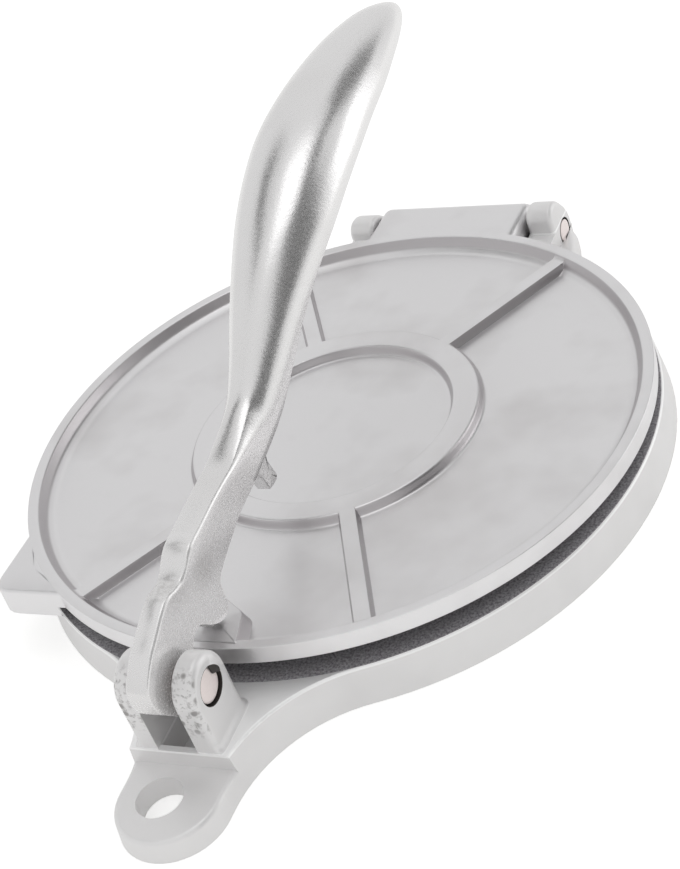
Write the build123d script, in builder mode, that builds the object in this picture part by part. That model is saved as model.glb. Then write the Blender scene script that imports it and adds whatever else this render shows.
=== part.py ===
from build123d import *
from math import atan, cos, degrees, radians, sin, sqrt
import os

# A 20 cm cast-aluminium tortilla press: a round base, a hinged top plate and a spoon-shaped lever.
# Frame: millimetres, +Z up, origin at the centre of the base disc on the table.
# The rear hinge lies towards +Y, and the lever's pivot and the hanging tab towards -Y.

# ---- base casting ----
BASE_RADIUS = 102.3
BASE_HEIGHT = 12.8
BASE_DRAFT = 1.6
RELIEF_DEPTH = 3.5
RELIEF_RIM = 8.0
BOSS_RADIUS = 18.0
UNDER_RIB_WIDTH = 5.0
NECK_HALF_WIDTH = 16.7
NECK_BLEND = 45.0
TAB_REACH = 20.9
TAB_HEIGHT = 7.2
STEP_MARGIN = 0.35
HANGING_HOLE_RADIUS = 7.0
HANGING_HOLE_LEFT = 2.5
HANGING_HOLE_FORWARD = 0.5
EDGE_ROUND = 0.8
TAB_EDGE_ROUND = 1.4

# ---- lever pivot in the front clevis ----
PIVOT_REACH = 13.8
PIVOT_RISE = 16.9
PIVOT_PIN_RADIUS = 5.6
CLEVIS_EAR_RADIUS = 9.45
CLEVIS_SLOT = 12.6
CLEVIS_EAR_THICKNESS = 6.6
CLEVIS_PIT_REAR = 12.1
CLEVIS_PIT_FLOOR = 3.2
CLEVIS_BAR = 1.9
CLEVIS_EAR_ROUND = 2.2
PIVOT_PIN_RECESS = 1.6

# ---- rear hinge ----
HINGE_REACH = 11.7
HINGE_HEIGHT = 7.7
HINGE_PIN_RADIUS = 4.5
HINGE_EAR_INNER_X = 29.0
HINGE_EAR_THICKNESS = 9.3
HINGE_EAR_FRONT = 8.3
HINGE_EAR_REAR = 7.4
HINGE_EAR_RISE = 8.0
HINGE_EAR_FRONT_FALL = 4.6
LEFT_EAR_DROP = 2.6
HINGE_WEB_DROP = 0.8
HINGE_EAR_ROUND = 1.6
HINGE_EAR_BULGE = (0.52, 0.65)
HINGE_PIN_RECESS = 1.2
HINGE_PIN_REACH = 12.0
HINGE_PIN_END_GAP = 0.5

# ---- top plate, sized as it lies when it is closed ----
PLATE_GAP = 0.4
PLATE_INSET = 2.3
PLATE_HEIGHT = 5.8
FLOOR_THICKNESS = 2.2
RIM_WIDTH = 3.4
RIM_DRAFT = 1.6
RING_RADIUS = 42.2
RING_WIDTH = 8.7
RING_FOOT = 1.6
RIB_HEIGHT = 2.3
RIB_WIDTH = 5.2
RIB_FOOT = 1.0
RIB_ANGLE = 30.5
PAD_WIDTH = 17.6
PAD_LENGTH = 12.1
PAD_PROUD = 0.5
THUMB_REACH = 15.97
THUMB_SIDE = 26.0
THUMB_CORNER_RADIUS = 6.0
THUMB_SINK = 3.8
THUMB_BELOW_RIM = 0.6
THUMB_BASE_CLEARANCE = 0.9
TONGUE_SIDE_CLEARANCE = 1.0
TONGUE_RISE = 5.2
TONGUE_CORNER = 3.5
KNUCKLE_RADIUS = 7.2
REST_OPEN_DEG = 1.78

# ---- lever, drawn about its pivot: first number back from the pivot, second number up ----
LEVER_WIDTH = 9.0
LEVER_BOSS_RADIUS = 9.0
LEVER_EDGE = 1.3
PIN_CLEARANCE = 0.05
HANDLE_WALL = 3.4
NUB_WIDTH = 4.6
CAM_GAP = 0.7

# Front corner of the nose, and the top of the shank from the nose over the pivot to the handle.
NOSE_CORNER = (-13.0, 4.6)
SHANK_TOP = [(-13.4, 9.8), (-4.6, 16.9), (7.6, 21.5), (17.1, 21.7), (25.1, 24.7), (38.1, 26.5), (52.1, 26.9)]
# Underside of the shank, from the handle down to the cam lobe.
SHANK_UNDER = [(66.1, 26.3), (82.1, 30.3), (82.1, 24.3), (62.1, 15.9), (44.1, 11.8), (38.6, 8.3), (33.1, 5.3)]
# Nub under the shank.
NUB = [(64.1, 18.3), (69.4, 10.8), (70.9, 4.8), (75.8, 4.4), (77.0, 5.6), (75.2, 13.4), (76.5, 24.0)]
# Crown line of the handle with its half width and depth, from the shank to the tip.
HANDLE_STATIONS = [
    (50.1, 26.9, 4.6, 12.5),
    (64.1, 29.5, 6.3, 12.0),
    (78.1, 34.9, 8.2, 11.0),
    (100.1, 51.4, 11.8, 12.2),
    (126.1, 66.9, 16.0, 13.5),
    (154.6, 77.3, 17.5, 14.0),
    (187.1, 79.3, 15.5, 12.4),
    (214.1, 76.3, 11.0, 8.8),
    (228.1, 71.8, 6.8, 5.6),
    (234.6, 67.9, 3.2, 2.8),
]
HOLLOW_STATIONS = HANDLE_STATIONS[2:-2]

# ---- places that follow from the sizes above ----
BASE_TOP_RADIUS = BASE_RADIUS - BASE_DRAFT
PIVOT_Y = -BASE_RADIUS - PIVOT_REACH
PIVOT_Z = BASE_HEIGHT + PIVOT_RISE
TAB_CENTRE_Y = PIVOT_Y - TAB_REACH
STEP_Y = PIVOT_Y - CLEVIS_EAR_RADIUS - STEP_MARGIN
CLEVIS_OUTER_X = CLEVIS_SLOT / 2 + CLEVIS_EAR_THICKNESS
HINGE_Y = BASE_RADIUS + HINGE_REACH
HINGE_Z = HINGE_HEIGHT
HINGE_EAR_OUTER_X = HINGE_EAR_INNER_X + HINGE_EAR_THICKNESS
PLATE_RADIUS = BASE_RADIUS - PLATE_INSET
PLATE_LOWER_Z = BASE_HEIGHT + PLATE_GAP
PLATE_FLOOR_Z = PLATE_LOWER_Z + FLOOR_THICKNESS
RIM_TOP_Z = PLATE_LOWER_Z + PLATE_HEIGHT
PAD_TOP_Z = RIM_TOP_Z + PAD_PROUD
PAD_FRONT_Y = RIM_WIDTH - PLATE_RADIUS
THUMB_CORNER = (PLATE_RADIUS + THUMB_REACH) / sqrt(2)
TONGUE_HALF_WIDTH = HINGE_EAR_INNER_X - TONGUE_SIDE_CLEARANCE
TONGUE_TOP_Z = PLATE_LOWER_Z + TONGUE_RISE
CAM_FLAT_Z = PAD_TOP_Z + sin(radians(REST_OPEN_DEG)) * (HINGE_Y - PAD_FRONT_Y) + CAM_GAP

os.makedirs("parts", exist_ok=True)

# The whole top plate is drawn closed, in the frame of the base, and swung open to its rest
# position about the rear hinge. Every plane of the plate is carried by this swing.
hinge_line = Location((0, HINGE_Y, HINGE_Z))
rest_swing = hinge_line * Location((0, 0, 0), (-REST_OPEN_DEG, 0, 0)) * hinge_line.inverse()


def plate_level(height):
    """Plane parallel to the top plate, at a height above the table when the plate is closed."""
    return Plane(rest_swing * Location((0, 0, height)))


def plate_side(x):
    """Plane of the top plate that faces +X, with its axes along closed Y and Z."""
    return Plane(rest_swing * Plane.YZ.offset(x).location)


# ---- base: disc, neck, hanging tab, front clevis and rear hinge ears ----
def base_outline(height, inset):
    """Outline of disc, neck and tab at a height, drawn in by the casting's draft."""
    half_width = NECK_HALF_WIDTH - inset
    with BuildSketch(Plane.XY.offset(height)) as outline:
        Circle(BASE_RADIUS - inset)
        with Locations((0, TAB_CENTRE_Y / 2)):
            Rectangle(2 * half_width, -TAB_CENTRE_Y)
        neck_roots = outline.vertices().filter_by(lambda v: abs(v.X) > 1 and TAB_CENTRE_Y + 1 < v.Y < -1)
        fillet(neck_roots, radius=NECK_BLEND + inset)
        with Locations((0, TAB_CENTRE_Y)):
            Circle(half_width)
    return outline.sketch


# Front clevis: two round-topped ears, cast with soft outer edges.
with BuildPart() as clevis_ears:
    with BuildSketch(Plane.YZ.offset(CLEVIS_SLOT / 2)):
        with Locations((PIVOT_Y, PIVOT_Z)):
            Circle(CLEVIS_EAR_RADIUS)
        with Locations((PIVOT_Y, BASE_HEIGHT / 2)):
            Rectangle(2 * CLEVIS_EAR_RADIUS, PIVOT_Z - BASE_HEIGHT / 2, align=(Align.CENTER, Align.MIN))
    extrude(amount=CLEVIS_EAR_THICKNESS)
    outer_edges = clevis_ears.faces().sort_by(Axis.X)[-1].edges()
    fillet(outer_edges.filter_by(lambda e: e.center().Z > BASE_HEIGHT / 2 + 0.01), radius=CLEVIS_EAR_ROUND)
    mirror(about=Plane.YZ)

# Rear hinge ears, joined to the disc by low webs. The left one is cast lower.
with BuildPart() as hinge_ears:
    ear_rear_y = HINGE_Y + HINGE_EAR_REAR
    web_start = sqrt(BASE_TOP_RADIUS**2 - HINGE_EAR_OUTER_X**2) - RELIEF_RIM
    for left_edge, ear_top in (
        (HINGE_EAR_INNER_X, BASE_HEIGHT + HINGE_EAR_RISE),
        (-HINGE_EAR_OUTER_X, BASE_HEIGHT + HINGE_EAR_RISE - LEFT_EAR_DROP),
    ):
        with BuildSketch(Plane.YZ.offset(left_edge)):
            with BuildLine():
                foot = Polyline(
                    (HINGE_Y - HINGE_EAR_FRONT, ear_top - HINGE_EAR_FRONT_FALL),
                    (HINGE_Y - HINGE_EAR_FRONT, BASE_HEIGHT - HINGE_WEB_DROP),
                    (web_start, BASE_HEIGHT - HINGE_WEB_DROP),
                    (web_start, 0),
                    (ear_rear_y, 0),
                    (ear_rear_y, HINGE_Z),
                )
                bulge_y = HINGE_Y + HINGE_EAR_BULGE[0] * HINGE_EAR_REAR
                bulge_z = HINGE_Z + HINGE_EAR_BULGE[1] * (ear_top - HINGE_Z)
                crown = (HINGE_Y - HINGE_EAR_FRONT + HINGE_EAR_FRONT_FALL, ear_top)
                Spline(foot @ 1, (bulge_y, bulge_z), crown, tangents=[(0, 1), (-1, 0)])
                RadiusArc(crown, foot @ 0, -HINGE_EAR_FRONT_FALL)
            make_face()
        extrude(amount=HINGE_EAR_THICKNESS)
    crown_edges = hinge_ears.edges().filter_by(lambda e: e.geom_type in (GeomType.BSPLINE, GeomType.CIRCLE))
    fillet(crown_edges, radius=HINGE_EAR_ROUND)


with BuildPart() as base_plate:
    loft([base_outline(0, 0), base_outline(BASE_HEIGHT, BASE_DRAFT)], ruled=True)

    # The tab hangs lower than the neck, behind a step.
    with BuildSketch(Plane.XY.offset(TAB_HEIGHT)):
        with Locations((0, STEP_Y)):
            Rectangle(4 * NECK_HALF_WIDTH, 4 * NECK_HALF_WIDTH, align=(Align.CENTER, Align.MAX))
    extrude(amount=BASE_HEIGHT, mode=Mode.SUBTRACT)
    disc_rim = base_plate.faces().sort_by(Axis.Z)[-1].edges()
    fillet(disc_rim.filter_by(lambda e: e.center().Y > STEP_Y + 0.01), radius=EDGE_ROUND)
    tab_top = base_plate.faces().filter_by(lambda f: f.is_planar and abs(f.center().Z - TAB_HEIGHT) < 0.01)
    tab_rim = tab_top.edges().filter_by(lambda e: e.center().Y < STEP_Y - 0.01)
    fillet(tab_rim, radius=TAB_EDGE_ROUND)

    add(clevis_ears.part)
    add(hinge_ears.part)

    # Pit between the ears, closed in front by a thin bar.
    with BuildSketch(Plane.XY.offset(CLEVIS_PIT_FLOOR)):
        with Locations((0, STEP_Y + CLEVIS_BAR)):
            pit_length = PIVOT_Y + CLEVIS_PIT_REAR - STEP_Y - CLEVIS_BAR
            Rectangle(CLEVIS_SLOT, pit_length, align=(Align.CENTER, Align.MIN))
    extrude(amount=BASE_HEIGHT, mode=Mode.SUBTRACT)

    # Pin holes and the hanging hole.
    with BuildSketch(Plane.YZ.offset(-CLEVIS_OUTER_X)):
        with Locations((PIVOT_Y, PIVOT_Z)):
            Circle(PIVOT_PIN_RADIUS)
    extrude(amount=2 * CLEVIS_OUTER_X, mode=Mode.SUBTRACT)
    with BuildSketch(Plane.YZ.offset(-HINGE_EAR_OUTER_X)):
        with Locations((HINGE_Y, HINGE_Z)):
            Circle(HINGE_PIN_RADIUS)
    extrude(amount=2 * HINGE_EAR_OUTER_X, mode=Mode.SUBTRACT)
    with BuildSketch():
        with Locations((-HANGING_HOLE_LEFT, TAB_CENTRE_Y - HANGING_HOLE_FORWARD)):
            Circle(HANGING_HOLE_RADIUS)
    extrude(amount=TAB_HEIGHT, mode=Mode.SUBTRACT)

    # Shallow relief under the disc, with a centre boss and four ribs on the table.
    with BuildSketch():
        Circle(BASE_RADIUS - RELIEF_RIM)
        Circle(BOSS_RADIUS, mode=Mode.SUBTRACT)
        for turn in (RIB_ANGLE, -RIB_ANGLE):
            Rectangle(UNDER_RIB_WIDTH, 2 * BASE_RADIUS, rotation=turn, mode=Mode.SUBTRACT)
    extrude(amount=RELIEF_DEPTH, mode=Mode.SUBTRACT)
base_plate.part.label = "base_plate"
export_step(base_plate.part, "parts/base_plate.step")


# ---- top plate: shallow pan with rim, ring and ribs, pad, thumb tab and hinge tongue ----
with BuildPart() as top_plate:
    with BuildSketch(plate_side(0)):
        with BuildLine():
            rim_in = PLATE_RADIUS - RIM_WIDTH
            ring_out = RING_RADIUS + RING_WIDTH / 2
            ring_in = RING_RADIUS - RING_WIDTH / 2
            ring_top = PLATE_FLOOR_Z + RIB_HEIGHT
            Polyline(
                (0, PLATE_LOWER_Z),
                (PLATE_RADIUS, PLATE_LOWER_Z),
                (PLATE_RADIUS, RIM_TOP_Z),
                (rim_in, RIM_TOP_Z),
                (rim_in - RIM_DRAFT, PLATE_FLOOR_Z),
                (ring_out + RING_FOOT, PLATE_FLOOR_Z),
                (ring_out, ring_top),
                (ring_in, ring_top),
                (ring_in - RING_FOOT, PLATE_FLOOR_Z),
                (0, PLATE_FLOOR_Z),
                close=True,
            )
        make_face()
    revolve(axis=Axis(plate_level(0).origin, plate_level(0).z_dir))

    # Four ribs in an X, from the ring to the rim.
    rib_start = RING_RADIUS
    rib_end = PLATE_RADIUS - RIM_WIDTH
    for turn in (RIB_ANGLE, -RIB_ANGLE, 180 + RIB_ANGLE, 180 - RIB_ANGLE):
        away = (-sin(radians(turn)), cos(radians(turn)))
        middle = (rib_start + rib_end) / 2
        with BuildSketch(plate_level(PLATE_FLOOR_Z)):
            with Locations((away[0] * middle, away[1] * middle)):
                Rectangle(RIB_WIDTH + 2 * RIB_FOOT, rib_end - rib_start, rotation=turn)
        extrude(amount=RIB_HEIGHT, taper=degrees(atan(RIB_FOOT / RIB_HEIGHT)))

    # Pad that the lever's cam bears on.
    with BuildSketch(plate_level(PLATE_FLOOR_Z)):
        with Locations((0, PAD_FRONT_Y)):
            Rectangle(PAD_WIDTH, PAD_LENGTH, align=(Align.CENTER, Align.MIN))
    extrude(amount=PAD_TOP_Z - PLATE_FLOOR_Z)

    # Thumb tab at the front left corner, which reaches down outside the base.
    for height, depth, clear_radius in (
        (PLATE_LOWER_Z - THUMB_SINK, THUMB_SINK, BASE_TOP_RADIUS + THUMB_BASE_CLEARANCE),
        (PLATE_LOWER_Z, PLATE_HEIGHT - THUMB_BELOW_RIM, PLATE_RADIUS - RIM_WIDTH / 2),
    ):
        with BuildSketch(plate_level(height)):
            with BuildLine():
                Polyline(
                    (-THUMB_CORNER, THUMB_SIDE - THUMB_CORNER),
                    (-THUMB_CORNER, -THUMB_CORNER),
                    (THUMB_SIDE - THUMB_CORNER, -THUMB_CORNER),
                    close=True,
                )
            corner = make_face().vertices().sort_by(lambda v: v.X + v.Y)[0]
            fillet(corner, radius=THUMB_CORNER_RADIUS)
            Circle(clear_radius, mode=Mode.SUBTRACT)
        extrude(amount=depth)

    # Tongue that reaches between the hinge ears, with the knuckle around the hinge line.
    with BuildSketch(plate_side(-TONGUE_HALF_WIDTH)):
        with BuildLine():
            underside = Polyline(
                (HINGE_Y, TONGUE_TOP_Z),
                (PLATE_RADIUS - 2 * RIM_WIDTH, TONGUE_TOP_Z),
                (PLATE_RADIUS - 2 * RIM_WIDTH, PLATE_LOWER_Z),
                (HINGE_Y - KNUCKLE_RADIUS, PLATE_LOWER_Z),
                (HINGE_Y - KNUCKLE_RADIUS, HINGE_Z),
            )
            knuckle_bottom = (HINGE_Y, HINGE_Z - KNUCKLE_RADIUS)
            ThreePointArc(underside @ 1, knuckle_bottom, (HINGE_Y + KNUCKLE_RADIUS, HINGE_Z))
            EllipticalCenterArc(
                (HINGE_Y, HINGE_Z), KNUCKLE_RADIUS, TONGUE_TOP_Z - HINGE_Z, start_angle=0, arc_size=90
            )
        make_face()
    extrude(amount=2 * TONGUE_HALF_WIDTH)
    tongue_ends = top_plate.faces().filter_by(
        lambda f: f.geom_type == GeomType.PLANE and abs(abs(f.center().X) - TONGUE_HALF_WIDTH) < 0.01
    )
    top_corners = tongue_ends.edges().filter_by(
        lambda e: e.geom_type != GeomType.LINE and e.center().Z > HINGE_Z + 0.5 * KNUCKLE_RADIUS
    )
    fillet(top_corners, radius=TONGUE_CORNER)

    # Hinge pin bores, one from each side.
    for side in (1, -1):
        start = side * (HINGE_EAR_INNER_X - TONGUE_SIDE_CLEARANCE - HINGE_PIN_REACH)
        with BuildSketch(plate_side(start)):
            with Locations((HINGE_Y, HINGE_Z)):
                Circle(HINGE_PIN_RADIUS + PIN_CLEARANCE)
        extrude(amount=side * (HINGE_PIN_REACH + TONGUE_SIDE_CLEARANCE), mode=Mode.SUBTRACT)
top_plate.part.label = "top_plate"
export_step(top_plate.part, "parts/top_plate.step")


# ---- lever: pivot boss, cam lobe and shank cut from one profile, then the hollow handle ----
def about_pivot(points):
    """Places of lever points that are given back from the pivot and up."""
    return [(PIVOT_Y + back, PIVOT_Z + up) for back, up in points]


def handle_plane(stations, i):
    """Plane square to the crown line at a station, with local Y up and out of the crown."""
    before = stations[max(i - 1, 0)]
    after = stations[min(i + 1, len(stations) - 1)]
    along = Vector(0, after[0] - before[0], after[1] - before[1])
    crown = (0, PIVOT_Y + stations[i][0], PIVOT_Z + stations[i][1])
    return Plane(origin=crown, x_dir=(-1, 0, 0), z_dir=along)


with BuildPart() as press_lever:
    with BuildSketch(Plane.YZ.offset(-LEVER_WIDTH / 2)):
        with BuildLine():
            nose = Polyline(about_pivot([(-LEVER_BOSS_RADIUS, 0), NOSE_CORNER, SHANK_TOP[0]]))
            top = Spline(about_pivot(SHANK_TOP))
            cam_up = CAM_FLAT_Z - PIVOT_Z
            cam_lobe = [
                (32.6, cam_up + 1.4),
                (30.1, cam_up + 0.6),
                (25.3, cam_up),
                (22.1, cam_up + 1.8),
                (19.5, cam_up + 4.4),
                (17.1, 3.5),
                (14.1, 3.1),
                (LEVER_BOSS_RADIUS + 2.4, 1.1),
                (LEVER_BOSS_RADIUS, 0),
            ]
            under = Polyline(about_pivot(SHANK_TOP[-1:] + SHANK_UNDER + cam_lobe))
            ThreePointArc(under @ 1, (PIVOT_Y, PIVOT_Z - LEVER_BOSS_RADIUS), nose @ 0)
        make_face()
    extrude(amount=LEVER_WIDTH)
    crown_edges = press_lever.faces().filter_by(Axis.X).edges().filter_by(GeomType.BSPLINE)
    fillet(crown_edges, radius=LEVER_EDGE)

    with BuildSketch(Plane.YZ.offset(-NUB_WIDTH / 2)):
        with BuildLine():
            Polyline(about_pivot(NUB), close=True)
        make_face()
    extrude(amount=NUB_WIDTH)

    # Handle: half-ellipse arches along the crown line, hollow from below.
    for i, (back, up, half_width, depth) in enumerate(HANDLE_STATIONS):
        with BuildSketch(handle_plane(HANDLE_STATIONS, i)):
            with BuildLine():
                arch = EllipticalCenterArc((0, -depth), half_width, depth, start_angle=0, arc_size=180)
                Line(arch @ 1, arch @ 0)
            make_face()
    loft()
    for i, (back, up, half_width, depth) in enumerate(HOLLOW_STATIONS):
        inner_width = half_width - HANDLE_WALL
        inner_depth = depth - HANDLE_WALL
        mouth = -depth - HANDLE_WALL
        with BuildSketch(handle_plane(HOLLOW_STATIONS, i)):
            with BuildLine():
                hollow = (inner_width, inner_depth)
                inside = EllipticalCenterArc((0, -depth), *hollow, start_angle=0, arc_size=180)
                Polyline(inside @ 1, (-inner_width, mouth), (inner_width, mouth), inside @ 0)
            make_face()
    loft(mode=Mode.SUBTRACT)

    with BuildSketch(Plane.YZ.offset(-LEVER_WIDTH / 2)):
        with Locations((PIVOT_Y, PIVOT_Z)):
            Circle(PIVOT_PIN_RADIUS + PIN_CLEARANCE)
    extrude(amount=LEVER_WIDTH, mode=Mode.SUBTRACT)
press_lever.part.label = "press_lever"
export_step(press_lever.part, "parts/press_lever.step")


# ---- pins ----
with BuildPart() as lever_pivot_pin:
    with BuildSketch(Plane.YZ.offset(PIVOT_PIN_RECESS - CLEVIS_OUTER_X)):
        with Locations((PIVOT_Y, PIVOT_Z)):
            Circle(PIVOT_PIN_RADIUS)
    extrude(amount=2 * (CLEVIS_OUTER_X - PIVOT_PIN_RECESS))
lever_pivot_pin.part.label = "lever_pivot_pin"
export_step(lever_pivot_pin.part, "parts/lever_pivot_pin.step")

for side, name in ((1, "hinge_pin_right"), (-1, "hinge_pin_left")):
    with BuildPart() as hinge_pin:
        inner_end = HINGE_EAR_INNER_X - TONGUE_SIDE_CLEARANCE - HINGE_PIN_REACH + HINGE_PIN_END_GAP
        with BuildSketch(Plane.YZ.offset(side * inner_end)):
            with Locations((HINGE_Y, HINGE_Z)):
                Circle(HINGE_PIN_RADIUS)
        extrude(amount=side * (HINGE_EAR_OUTER_X - HINGE_PIN_RECESS - inner_end))
    hinge_pin.part.label = name
    export_step(hinge_pin.part, f"parts/{name}.step")
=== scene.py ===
"""Looks of a cast-aluminium tortilla press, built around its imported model.

Everything is in the model's frame: origin at the centre of the base disc on the table, +Y towards
the rear hinge, +Z up. Sizes are written in millimetres, and a finished mesh is turned to metres.
"""

from math import cos, pi, radians, sin

import bpy
import numpy as np
from mathutils import Matrix, Vector


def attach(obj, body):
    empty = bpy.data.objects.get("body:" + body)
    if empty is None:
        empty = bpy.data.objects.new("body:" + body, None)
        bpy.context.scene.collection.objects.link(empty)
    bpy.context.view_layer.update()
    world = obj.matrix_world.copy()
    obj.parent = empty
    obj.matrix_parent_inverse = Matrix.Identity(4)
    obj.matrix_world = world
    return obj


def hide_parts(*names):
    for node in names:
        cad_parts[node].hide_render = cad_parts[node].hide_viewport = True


MM = 0.001
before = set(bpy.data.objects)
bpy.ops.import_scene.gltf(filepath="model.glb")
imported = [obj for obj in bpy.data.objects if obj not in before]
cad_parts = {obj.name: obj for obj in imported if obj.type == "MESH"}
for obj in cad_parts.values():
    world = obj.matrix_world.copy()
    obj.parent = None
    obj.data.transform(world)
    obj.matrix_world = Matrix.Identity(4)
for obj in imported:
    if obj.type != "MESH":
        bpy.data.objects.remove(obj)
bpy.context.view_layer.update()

# ---- sizes of the pieces, in millimetres; ribs in degrees from +X, seen from above ----
HINGE_Y = 114.0
HINGE_Z = 7.7
REST_OPEN = radians(1.78)
PIVOT_Y = -116.1
PIVOT_Z = 29.7

BASE_TOP = 12.8
BASE_RADIUS = 102.3
BASE_DRAFT = 1.6

PLATE_RADIUS = 100.0
PLATE_UNDER = 13.2
PLATE_FLOOR = 14.9
RIM_TOP = 19.0
RIM_WIDTH = 3.5
RIM_WALL = 1.9
RIM_WALL_RISE = 1.1
RIM_FOOT = 4.2
RING_TOP = 17.7
RING_OUTER = 46.0
RING_INNER = 37.85
RING_FOOT = 1.15
RIB_ANGLES = (59.5, 120.5, 237.2, 297.3)
RIB_HALF_TOP = 2.35
RIB_HALF_FOOT = 3.35

THUMB_REACH = 15.97
THUMB_SIDE = 26.0
THUMB_TIP = 6.5
THUMB_SOFT = 0.8
THUMB_ROOT = 0.7
THUMB_TOP_EDGE = 1.0
THUMB_SKIRT_EDGE = 0.6
THUMB_SKIRT_RISE = 2.5
THUMB_SINK = 3.8
THUMB_BELOW_RIM = 0.05
THUMB_CLEARANCE = 0.9
TONGUE_HALF_WIDTH = 28.0
TONGUE_RISE = 5.2
TONGUE_MIDDLE_Y = 104.0
TONGUE_CORNER = 3.5
KNUCKLE_RADIUS = 7.2

LEVER_EDGE = 1.15
LEVER_CROWN = 0.25
LEVER_LIP = 0.2
HANDLE_WALL = 3.4
NUB_HALF_WIDTH = 2.3
NUB_EDGE = 0.7

PIVOT_PIN_RADIUS = 5.6
PIVOT_PIN_ENDS = (-12.2, 12.3)
HINGE_PIN_RADIUS = 4.5
HINGE_PIN_ENDS = (16.5, 38.6)
PIN_END_STEP = 0.55
PIN_END_LENGTH = 2.0
CLEVIS_EAR_REACH = 9.45
CLEVIS_EAR_INNER = 6.35
CLEVIS_EAR_OUTER = 12.9
CLEVIS_EAR_CORNER = 2.2
CLEVIS_SKIRT = 1.7
CLEVIS_SKIRT_STRETCH = 1.6
HINGE_EAR_OUTER = 38.3
HINGE_EAR_REAR = 121.4

BURR_Y = -110.9
BURR_Z = 32.6
BURR_LEAN = radians(-62)
BURR_HALF_LENGTH = 4.4
BURR_HALF_WIDTH = 2.3
BURR_HEIGHT = 0.9
BURR_SINK = 0.45

# A face that would share a neighbour's plane is sunk behind it by this much.
SUNK = 0.05

# Edges of a mesh that turn by more than this stay sharp.
SHARP_ANGLE = radians(38)

# Rows and columns that only keep the plate's long flats evenly divided.
HUB_RADIUS = 0.5
UNDER_ROW = 60
FLOOR_ROWS = (84, 72, 60)
CENTRE_ROW = 18
RIB_SIDE_COLUMNS = (4.6, 6, 8)
COLUMN_DEGREES = 1.4

# Pad corners, x and y, with the reach of their softening.
PAD_TOP = 19.5
PAD_FRONT = -97.6
PAD = [
    (-9.2, PAD_FRONT, 0.5),
    (10.4, PAD_FRONT, 0.5),
    (7.2, -85.6, 1.6),
    (-2.6, -79.2, 2.2),
    (-9.2, -81.5, 2.2),
]
# Pad wall: inset from those corners, and height.
PAD_WALL = [
    (-1.9, PLATE_FLOOR - 0.5),
    (-1.2, PLATE_FLOOR + 0.4),
    (-0.4, PAD_TOP - 1.4),
    (0, PAD_TOP - 0.5),
    (0.2, PAD_TOP - 0.15),
    (0.6, PAD_TOP),
]
# Pin end: inset from the pin's radius, and depth behind the end.
PIN_END = [
    (PIN_END_STEP + 1.2, 0),
    (PIN_END_STEP + 0.6, 0.08),
    (PIN_END_STEP + 0.15, 0.3),
    (PIN_END_STEP, 0.7),
    (PIN_END_STEP, PIN_END_LENGTH),
    (0, PIN_END_LENGTH + 0.1),
]
# Web beside a rear hinge ear: corners with the reach of their softening, then insets and heights.
WEB = [
    (HINGE_EAR_OUTER - 3, 88.0, 0),
    (49.5, 88.0, 0),
    (43.6, 110.6, 5.0),
    (HINGE_EAR_OUTER + 0.6, HINGE_EAR_REAR - 0.6, 1.5),
    (HINGE_EAR_OUTER - 3, HINGE_EAR_REAR - 0.4, 0),
]
WEB_FLANK = [(0, 0.05), (0.4, 2.0), (1.2, 4.4), (2.0, 5.4), (3.0, 5.9)]

# Lever sections about the pivot, back and up: crown point, under point, half width.
SHANK = [
    (-12.0, 0.6, -9.6, -1.4, 2.9),
    (-13.1, 2.4, -8.0, -4.1, 3.45),
    (-13.7, 5.4, -5.4, -7.1, 3.6),
    (-13.8, 8.4, -1.6, -8.8, 3.6),
    (-13.0, 10.9, 2.4, -8.6, 3.6),
    (-10.3, 13.4, 6.4, -6.3, 3.6),
    (-6.1, 16.2, 8.9, -1.6, 3.6),
    (-1.0, 18.4, 10.6, 1.6, 3.6),
    (4.0, 20.6, 12.4, 3.4, 3.6),
    (8.4, 22.0, 14.6, 4.3, 3.6),
    (11.4, 22.2, 17.0, 4.0, 3.7),
    (14.4, 21.5, 18.6, 2.6, 3.85),
    (17.4, 21.4, 20.7, 0.2, 4.05),
    (20.4, 22.6, 23.6, -2.0, 4.3),
    (23.4, 24.5, 26.4, -2.9, 4.45),
    (26.2, 25.7, 28.6, -2.5, 4.5),
    (28.8, 26.1, 30.1, -0.6, 4.5),
    (31.0, 26.2, 30.3, 3.0, 4.5),
    (33.6, 26.4, 31.2, 6.8, 4.5),
    (37.4, 26.7, 35.4, 8.9, 4.5),
    (42.8, 27.1, 42.4, 11.0, 4.5),
    (50.1, 27.4, 51.0, 13.3, 4.6),
]
# Handle sections: crown point, depth, half width, share of arch, share of hollow.
HANDLE = [
    (57.1, 27.8, 13.3, 5.1, 0.12, 0.0),
    (64.1, 29.5, 12.8, 6.0, 0.4, 0.0),
    (71.1, 31.8, 12.2, 7.0, 0.7, 0.15),
    (78.1, 34.9, 11.8, 8.2, 0.92, 0.5),
    (88.6, 42.6, 11.8, 9.9, 1.0, 0.9),
    (100.1, 51.4, 12.2, 11.8, 1.0, 1.0),
    (113.1, 59.9, 12.9, 14.0, 1.0, 1.0),
    (126.1, 66.9, 13.5, 16.0, 1.0, 1.0),
    (140.1, 73.0, 13.9, 17.1, 1.0, 1.0),
    (154.6, 77.3, 14.0, 17.5, 1.0, 1.0),
    (170.6, 79.2, 13.4, 16.8, 1.0, 1.0),
    (187.1, 79.3, 12.4, 15.5, 1.0, 1.0),
    (201.1, 78.4, 10.9, 13.5, 1.0, 0.9),
    (214.1, 76.3, 8.8, 11.0, 1.0, 0.3),
    (222.1, 74.2, 7.2, 8.9, 1.0, 0.0),
    (228.1, 71.8, 5.6, 6.8, 1.0, 0.0),
    (232.3, 69.6, 4.1, 4.8, 1.0, 0.0),
    (234.8, 67.7, 2.6, 2.9, 1.0, 0.0),
    (236.0, 66.4, 1.3, 1.3, 1.0, 0.0),
]
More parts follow.
